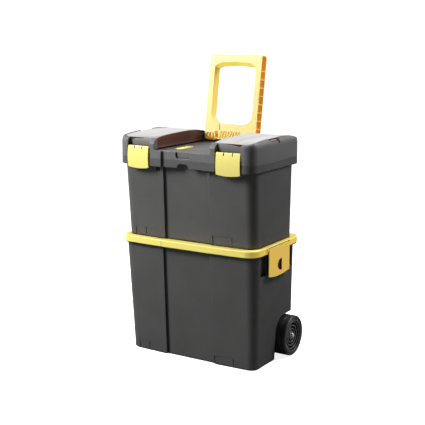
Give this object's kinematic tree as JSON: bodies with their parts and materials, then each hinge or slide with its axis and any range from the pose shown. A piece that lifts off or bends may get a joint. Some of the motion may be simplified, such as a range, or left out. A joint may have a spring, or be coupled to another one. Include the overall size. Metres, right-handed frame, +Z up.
{
  "type": "rolling tool box",
  "caption": "Wheeled storage bin with a lift-off tool box on top, front latches, lidded small-part organizers and a fold-down pull handle.",
  "frame": {"origin": "on the flat bottom of the bin, at floor level, at the point of mount bottom_rest, under the middle of the box", "axes": "+Z up, +X to the box's right as seen from the front by someone facing it, +Y to the back where the wheels and handle are; the latches face -Y"},
  "size_m": [0.4896, 0.3363, 0.8946],
  "materials": {
    "grey_plastic": "fine moulded texture",
    "yellow_plastic": "semi-gloss moulded",
    "smoke_plastic": "clear smoked, glossy",
    "black_rubber": "matte",
    "black_plastic": "moulded",
    "steel": "plated"
  },
  "bodies": {
    "bin": {"bin_body": "grey_plastic", "bin_rim": "yellow_plastic", "axle": "steel", "axle_cap_left": "steel", "axle_cap_right": "steel", "axle_washer_left": "steel", "axle_washer_right": "steel", "side_clip_pin_left": "steel", "side_clip_pin_right": "steel"},
    "left_wheel": {"wheel_left": "black_plastic", "wheel_tire_left": "black_rubber"},
    "right_wheel": {"wheel_right": "black_plastic", "wheel_tire_right": "black_rubber"},
    "left_side_clip": {"side_clip_left": "yellow_plastic"},
    "right_side_clip": {"side_clip_right": "yellow_plastic"},
    "toolbox": {"toolbox_body": "grey_plastic", "lid_hinge_pin_left": "steel", "lid_hinge_pin_right": "steel"},
    "lid": {"toolbox_lid": "grey_plastic", "latch_pin_left": "steel", "latch_pin_right": "steel", "cover_pin_left": "steel", "cover_pin_right": "steel", "handle_pin_left": "steel", "handle_pin_right": "steel", "divider_left_front": "smoke_plastic", "divider_left_rear": "smoke_plastic", "divider_right_front": "smoke_plastic", "divider_right_rear": "smoke_plastic"},
    "left_front_latch": {"front_latch_left": "yellow_plastic"},
    "right_front_latch": {"front_latch_right": "yellow_plastic"},
    "left_organizer_cover": {"organizer_cover_left": "smoke_plastic"},
    "right_organizer_cover": {"organizer_cover_right": "smoke_plastic"},
    "handle": {"pull_handle": "yellow_plastic"},
    "lock_slide": {"handle_lock": "yellow_plastic"}
  },
  "joints": [
    {"name": "left_wheel_spin", "type": "hinge", "parent": "bin", "child": "left_wheel", "pos_m": [-0.219, 0.0866, 0.0613], "axis": [1, 0, 0], "continuous": true},
    {"name": "left_side_clip_swing", "type": "hinge", "parent": "bin", "child": "left_side_clip", "pos_m": [-0.233, 0.004, 0.354], "axis": [0, 1, 0], "range_deg": [0, 92]},
    {"name": "right_wheel_spin", "type": "hinge", "parent": "bin", "child": "right_wheel", "pos_m": [0.219, 0.0866, 0.0613], "axis": [1, 0, 0], "continuous": true},
    {"name": "right_side_clip_swing", "type": "hinge", "parent": "bin", "child": "right_side_clip", "pos_m": [0.233, 0.004, 0.354], "axis": [0, -1, 0], "range_deg": [0, 92]},
    {"name": "toolbox_lift", "type": "slide", "parent": "bin", "child": "toolbox", "axis": [0, 0, 1], "range_m": [0, 0.3]},
    {"name": "lid_hinge", "type": "hinge", "parent": "toolbox", "child": "lid", "pos_m": [0, 0.15, 0.605], "axis": [-1, 0, 0], "range_deg": [0, 100]},
    {"name": "left_front_latch_swing", "type": "hinge", "parent": "lid", "child": "left_front_latch", "pos_m": [-0.1529, -0.145, 0.6335], "axis": [-0.9985, 0.0548, 0], "range_deg": [0, 110]},
    {"name": "left_organizer_cover_swing", "type": "hinge", "parent": "lid", "child": "left_organizer_cover", "pos_m": [-0.0985, -0.011, 0.634], "axis": [0, -1, 0], "range_deg": [-85, 0]},
    {"name": "right_front_latch_swing", "type": "hinge", "parent": "lid", "child": "right_front_latch", "pos_m": [0.1529, -0.145, 0.6335], "axis": [-0.9985, -0.0548, 0], "range_deg": [0, 110]},
    {"name": "right_organizer_cover_swing", "type": "hinge", "parent": "lid", "child": "right_organizer_cover", "pos_m": [0.0985, -0.011, 0.634], "axis": [0, 1, 0], "range_deg": [-85, 0]},
    {"name": "handle_fold", "type": "hinge", "parent": "lid", "child": "handle", "pos_m": [0, 0.1289, 0.648], "axis": [1, 0, 0], "range_deg": [0, 98]},
    {"name": "lock_slide_travel", "type": "slide", "parent": "lid", "child": "lock_slide", "axis": [-1, 0, 0], "range_m": [0, 0.01]}
  ]
}
